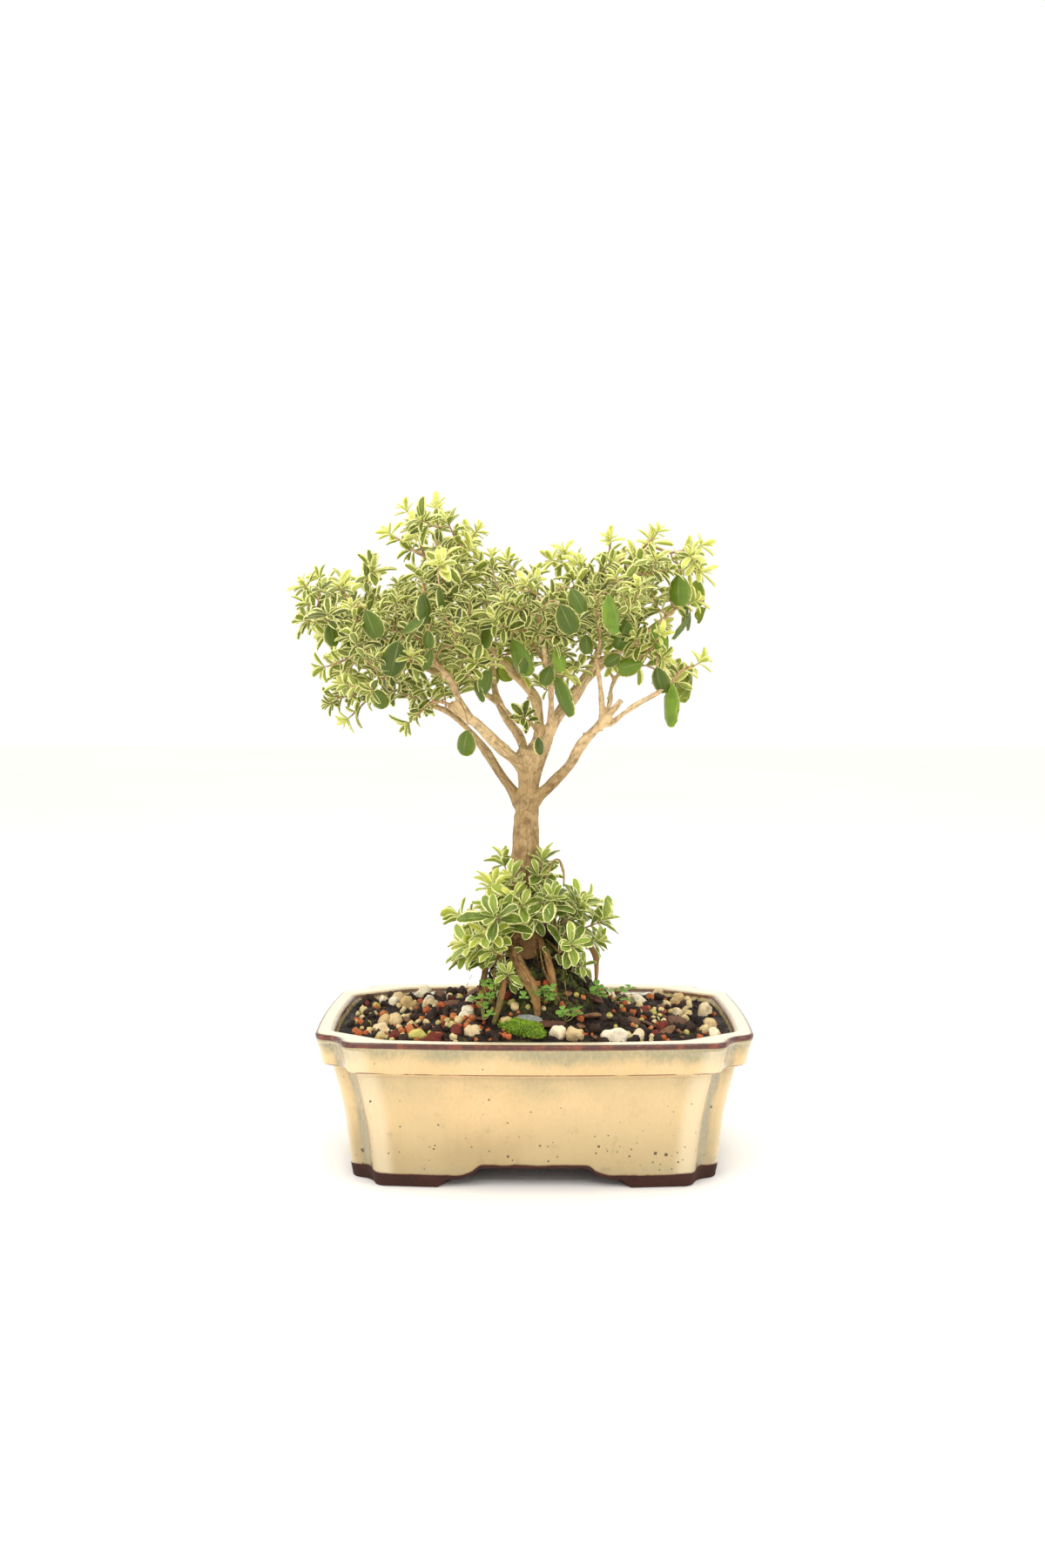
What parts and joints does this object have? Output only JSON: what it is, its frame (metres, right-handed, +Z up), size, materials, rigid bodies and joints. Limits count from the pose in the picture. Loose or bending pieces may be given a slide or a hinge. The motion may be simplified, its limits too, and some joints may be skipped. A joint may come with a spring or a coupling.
{
  "type": "mount fuji serissa bonsai",
  "caption": "Small variegated-leaf bonsai tree with a forked bare trunk, spreading crown and shoots at its root crown, in a footed rectangular glazed pot with notched corners.",
  "frame": {"origin": "bottom centre of the whole object's box, on the surface that the pot's feet stand on", "axes": "+Z up, front of the pot towards -Y, +X to the right seen from the front"},
  "size_m": [0.2192, 0.1352, 0.3213],
  "materials": {
    "glaze": "glossy cream glaze over brown clay",
    "soil": "rough, crumbly",
    "screen_mesh": "matt",
    "bark": "rough, fissured",
    "moss": "matt, fuzzy",
    "canopy_leaf": "satin, cream edged",
    "shoot_leaf": "satin, cream edged",
    "clover_leaf": "satin",
    "white_stone": "rough",
    "yellow_stone": "rough",
    "lava_stone": "rough, porous",
    "bark_chip": "rough",
    "slate_chip": "matt"
  },
  "bodies": {
    "root": {"pot": "glaze", "soil": "soil", "screen_left": "screen_mesh", "screen_right": "screen_mesh", "tree_wood": "bark", "moss_tuft": "moss", "stone_white_large": "white_stone", "stone_white_small": "white_stone", "stone_yellow": "yellow_stone", "stone_lava": "lava_stone", "stone_cream": "white_stone", "chip_bark": "bark_chip", "chip_slate": "slate_chip", "spray_01": "canopy_leaf", "spray_02": "canopy_leaf", "spray_03": "canopy_leaf", "spray_04": "canopy_leaf", "spray_05": "canopy_leaf", "spray_06": "canopy_leaf", "spray_07": "canopy_leaf", "spray_08": "canopy_leaf", "spray_09": "canopy_leaf", "spray_10": "canopy_leaf", "spray_11": "canopy_leaf", "spray_12": "canopy_leaf", "spray_13": "canopy_leaf", "spray_14": "canopy_leaf", "spray_15": "canopy_leaf", "spray_16": "canopy_leaf", "spray_17": "canopy_leaf", "spray_18": "canopy_leaf", "spray_19": "canopy_leaf", "spray_20": "canopy_leaf", "spray_21": "canopy_leaf", "spray_22": "canopy_leaf", "spray_23": "canopy_leaf", "spray_24": "canopy_leaf", "spray_25": "canopy_leaf", "spray_26": "canopy_leaf", "spray_27": "canopy_leaf", "spray_28": "canopy_leaf", "spray_29": "canopy_leaf", "spray_30": "canopy_leaf", "spray_31": "canopy_leaf", "spray_32": "canopy_leaf", "spray_33": "canopy_leaf", "spray_34": "canopy_leaf", "shoot_01": "shoot_leaf", "shoot_02": "shoot_leaf", "shoot_03": "shoot_leaf", "shoot_04": "shoot_leaf", "shoot_05": "shoot_leaf", "shoot_06": "shoot_leaf", "shoot_07": "shoot_leaf", "shoot_08": "shoot_leaf", "shoot_09": "shoot_leaf", "shoot_10": "shoot_leaf", "shoot_11": "shoot_leaf", "clover_01": "clover_leaf"}
  },
  "joints": []
}
